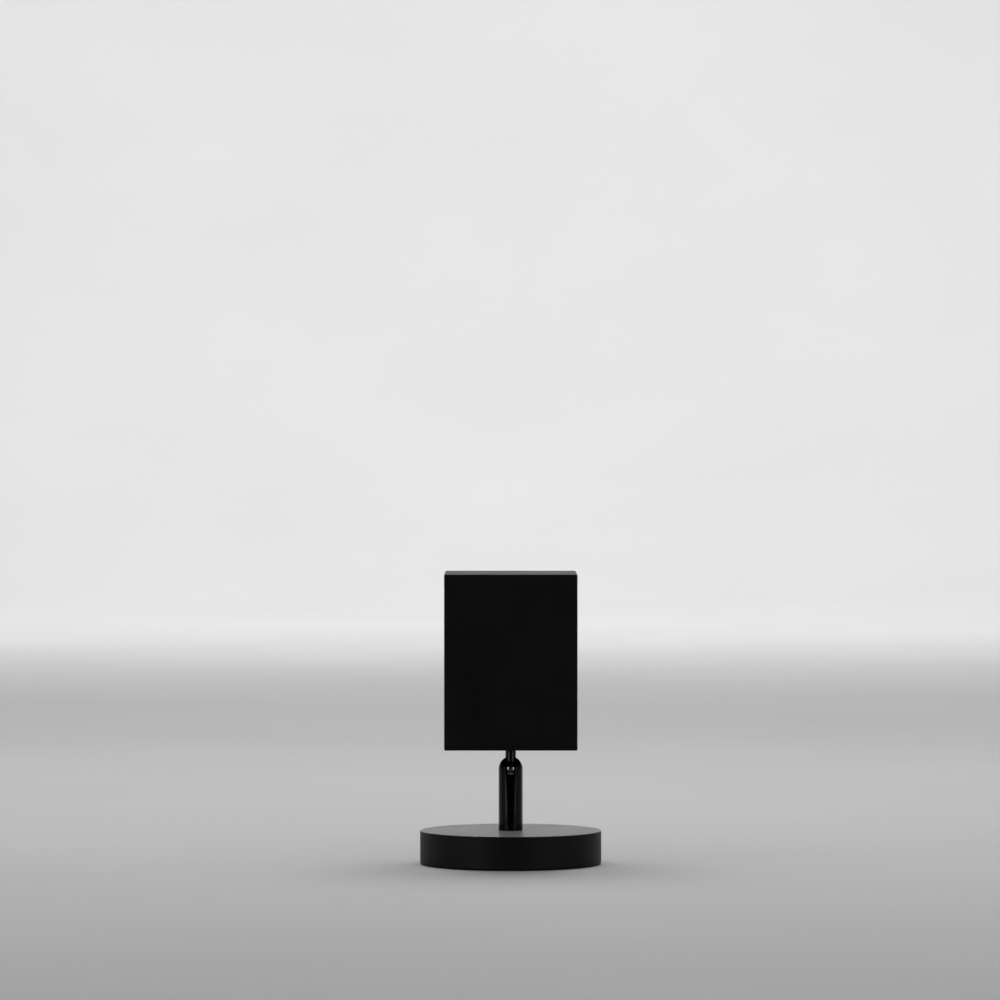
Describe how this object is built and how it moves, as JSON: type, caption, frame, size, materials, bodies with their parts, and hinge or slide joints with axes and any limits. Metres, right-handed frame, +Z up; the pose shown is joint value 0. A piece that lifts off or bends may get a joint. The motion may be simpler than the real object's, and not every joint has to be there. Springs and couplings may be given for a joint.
{
  "type": "sunset projection lamp",
  "caption": "Table lamp that projects a round sunset-coloured light: a box-shaped head with a front lens on a slotted ball knuckle, a short post and a weighted disc base.",
  "frame": {"origin": "centre of the base's underside, on the axis of the post", "axes": "+Z up along the post; +Y is the way the lens looks at rest; the knuckle's slot opens towards -Y"},
  "size_m": [0.09, 0.09, 0.1447],
  "materials": {
    "base_cover": "satin black enamel",
    "cast_ballast": "as cast",
    "plain_steel": "zinc plated",
    "fasteners": "zinc plated",
    "foot_pad": "matte foam rubber",
    "jack_body": "moulded black",
    "contacts": "nickel plated",
    "lead_insulation": "soft insulation",
    "brass_parts": "turned",
    "post": "polished black nickel",
    "spring_steel": "plain",
    "nylon": "natural",
    "ball_stud": "polished",
    "friction_washer": "plain black",
    "head_coat": "matte black powder coat",
    "black_screws": "black oxide",
    "barrel_plastic": "matte black",
    "lens_ring": "satin black anodised",
    "seal_rubber": "plain",
    "lens_glass": "polished clear",
    "filter_glass": "coated in rings of colour",
    "led_board": "white solder mask",
    "emitter": "clear dome on ceramic",
    "heat_sink": "extruded",
    "thermal_pad": "soft pad",
    "circuit_board": "green solder mask",
    "board_parts": "moulded"
  },
  "bodies": {
    "stand": {"base_cover": "base_cover", "ballast_disc": "cast_ballast", "bottom_plate": "plain_steel", "plate_screws": "fasteners", "foot_pad": "foot_pad", "power_jack": "jack_body", "jack_contacts": "contacts", "jack_strap": "plain_steel", "strap_screws": "fasteners", "base_leads": "lead_insulation", "post_nipple": "brass_parts", "nipple_washer": "plain_steel", "nipple_nut": "brass_parts", "post_tube": "post", "seat_plug": "brass_parts", "disc_springs": "spring_steel", "ball_seat": "nylon"},
    "knuckle": {"ball_stud": "ball_stud", "neck_washer": "friction_washer", "stop_washer": "plain_steel", "swivel_spring": "spring_steel", "swivel_nut": "plain_steel", "stud_leads": "lead_insulation"},
    "head": {"head_shell": "head_coat", "front_plate": "head_coat", "front_screws": "black_screws", "lens_barrel": "barrel_plastic", "lens_ring": "lens_ring", "lens_gasket": "seal_rubber", "lens": "lens_glass", "filter_holder": "barrel_plastic", "colour_filter": "filter_glass", "filter_ring": "spring_steel", "condenser": "lens_glass", "led_board": "led_board", "led_emitter": "emitter", "heat_sink": "heat_sink", "thermal_pad": "thermal_pad", "sink_screws": "fasteners", "driver_board": "circuit_board", "driver_parts": "board_parts", "driver_screws": "fasteners", "supply_leads": "lead_insulation", "led_leads": "lead_insulation"}
  },
  "joints": [
    {"name": "neck_tilt", "type": "hinge", "parent": "stand", "child": "knuckle", "pos_m": [0, 0, 0.0474], "axis": [1, 0, 0], "range_deg": [0, 65]},
    {"name": "head_swivel", "type": "hinge", "parent": "knuckle", "child": "head", "pos_m": [0, 0, 0.0582], "axis": [0, 0, 1], "range_deg": [-170, 170]}
  ]
}
